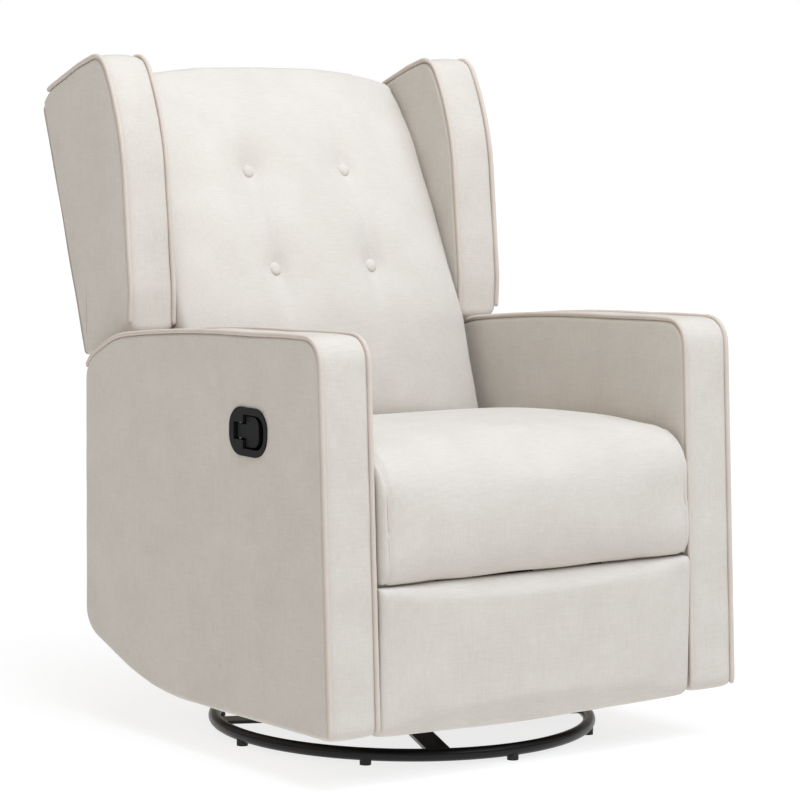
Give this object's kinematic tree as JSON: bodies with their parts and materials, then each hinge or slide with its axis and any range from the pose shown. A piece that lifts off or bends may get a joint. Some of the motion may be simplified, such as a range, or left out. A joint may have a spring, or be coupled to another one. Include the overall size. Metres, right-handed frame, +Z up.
{
  "type": "glider nursery chair",
  "caption": "Upholstered wing-back nursery chair that swivels and glides on a ring base, with a reclining back and a folding footrest.",
  "frame": {"origin": "on the floor, at the middle of the whole chair's footprint", "axes": "+Z up, the sitter faces -Y, +X towards the sitter's left arm"},
  "size_m": [0.761, 0.8297, 1.0184],
  "materials": {
    "fabric": "ivory linen-look woven upholstery over foam",
    "webbing": "black elastic webbing",
    "timber": "plain pine and plywood frame",
    "black_steel": "glossy black powder coat",
    "zinc_steel": "zinc plated",
    "bright_steel": "polished bearing balls",
    "nylon": "natural nylon bush",
    "black_plastic": "moulded black plastic",
    "rubber_foot": "black glide foot"
  },
  "bodies": {
    "base": {"base_ring": "black_steel", "base_long_bar": "black_steel", "base_short_bars": "black_steel", "base_feet": "rubber_foot", "base_bolts": "zinc_steel", "swivel_lower_plate": "black_steel", "lower_race": "zinc_steel", "swivel_balls": "bright_steel", "king_pin": "zinc_steel"},
    "glide_stand": {"upper_race": "zinc_steel", "swivel_upper_plate": "black_steel", "stand_foot_bars": "black_steel", "stand_side_plates": "black_steel", "stand_tie_rods": "black_steel", "upper_glide_pins": "zinc_steel"},
    "front_links": {"front_glide_links": "black_steel", "front_link_bushes": "nylon"},
    "rear_links": {"rear_glide_links": "black_steel", "rear_link_bushes": "nylon"},
    "chair_frame": {"side_rails": "black_steel", "cross_tubes": "black_steel", "lower_glide_pins": "zinc_steel", "seat_side_rails": "timber", "seat_front_rail": "timber", "seat_rear_rail": "timber", "seat_springs": "zinc_steel", "seat_cushion": "fabric", "rear_apron": "fabric", "arm_frames": "timber", "arm_inner_pad_left": "fabric", "arm_inner_pad_right": "fabric", "arm_band_left": "fabric", "arm_band_right": "fabric", "arm_outer_panel_left": "fabric", "arm_outer_panel_right": "fabric", "handle_bezel": "black_plastic", "handle_pin": "zinc_steel", "recline_brackets": "black_steel", "recline_pins": "zinc_steel", "footrest_hangers": "black_steel", "footrest_knee_pins": "zinc_steel"},
    "handle": {"release_paddle": "black_plastic"},
    "backrest": {"back_posts": "timber", "back_cross_rails": "timber", "back_webbing": "webbing", "back_cushion": "fabric", "back_buttons": "fabric", "wing_boards": "timber", "wing_pad_left": "fabric", "wing_pad_right": "fabric", "outer_back": "fabric", "back_brackets": "black_steel"},
    "footrest_inner": {"footrest_torque_tube": "black_steel", "footrest_inner_links": "black_steel", "footrest_elbow_rivets": "zinc_steel"},
    "footrest_outer": {"footrest_outer_links": "black_steel"},
    "footrest": {"footrest_brackets": "black_steel", "footrest_ankle_rivets": "zinc_steel", "footrest_board": "timber", "footrest_pad": "fabric"}
  },
  "joints": [
    {"name": "swivel", "type": "hinge", "parent": "base", "child": "glide_stand", "pos_m": [0, -0.072, 0.03], "axis": [0, 0, 1], "continuous": true},
    {"name": "glide", "type": "hinge", "parent": "glide_stand", "child": "front_links", "pos_m": [0, -0.172, 0.243], "axis": [1, 0, 0], "range_deg": [-18, 18]},
    {"name": "glide_level", "type": "hinge", "parent": "front_links", "child": "chair_frame", "pos_m": [0, -0.172, 0.115], "axis": [1, 0, 0], "range_deg": [-18, 18]},
    {"name": "glide_rear", "type": "hinge", "parent": "glide_stand", "child": "rear_links", "pos_m": [0, 0.028, 0.243], "axis": [1, 0, 0], "range_deg": [-18, 18]},
    {"name": "recline", "type": "hinge", "parent": "chair_frame", "child": "backrest", "pos_m": [0, 0.148, 0.4], "axis": [-1, 0, 0], "range_deg": [0, 30]},
    {"name": "footrest_lift", "type": "hinge", "parent": "chair_frame", "child": "footrest_inner", "pos_m": [0, -0.247, 0.275], "axis": [-1, 0, 0], "range_deg": [0, 105]},
    {"name": "footrest_fold", "type": "hinge", "parent": "footrest_inner", "child": "footrest_outer", "pos_m": [0, -0.192, 0.1246], "axis": [1, 0, 0], "range_deg": [0, 122.5]},
    {"name": "footrest_tilt", "type": "hinge", "parent": "footrest_outer", "child": "footrest", "pos_m": [0, -0.352, 0.215], "axis": [-1, 0, 0], "range_deg": [0, 107.5]},
    {"name": "release", "type": "hinge", "parent": "chair_frame", "child": "handle", "pos_m": [-0.373, -0.178, 0.49], "axis": [0, 0, -1], "range_deg": [0, 35], "stiffness_Nm_per_rad": 0.6}
  ],
  "couplings": [
    {"joint": "glide_level", "follows": "glide", "ratio": -1},
    {"joint": "glide_rear", "follows": "glide", "ratio": 1},
    {"joint": "footrest_fold", "follows": "footrest_lift", "ratio": 1.1667},
    {"joint": "footrest_tilt", "follows": "footrest_lift", "ratio": 1.0238}
  ]
}
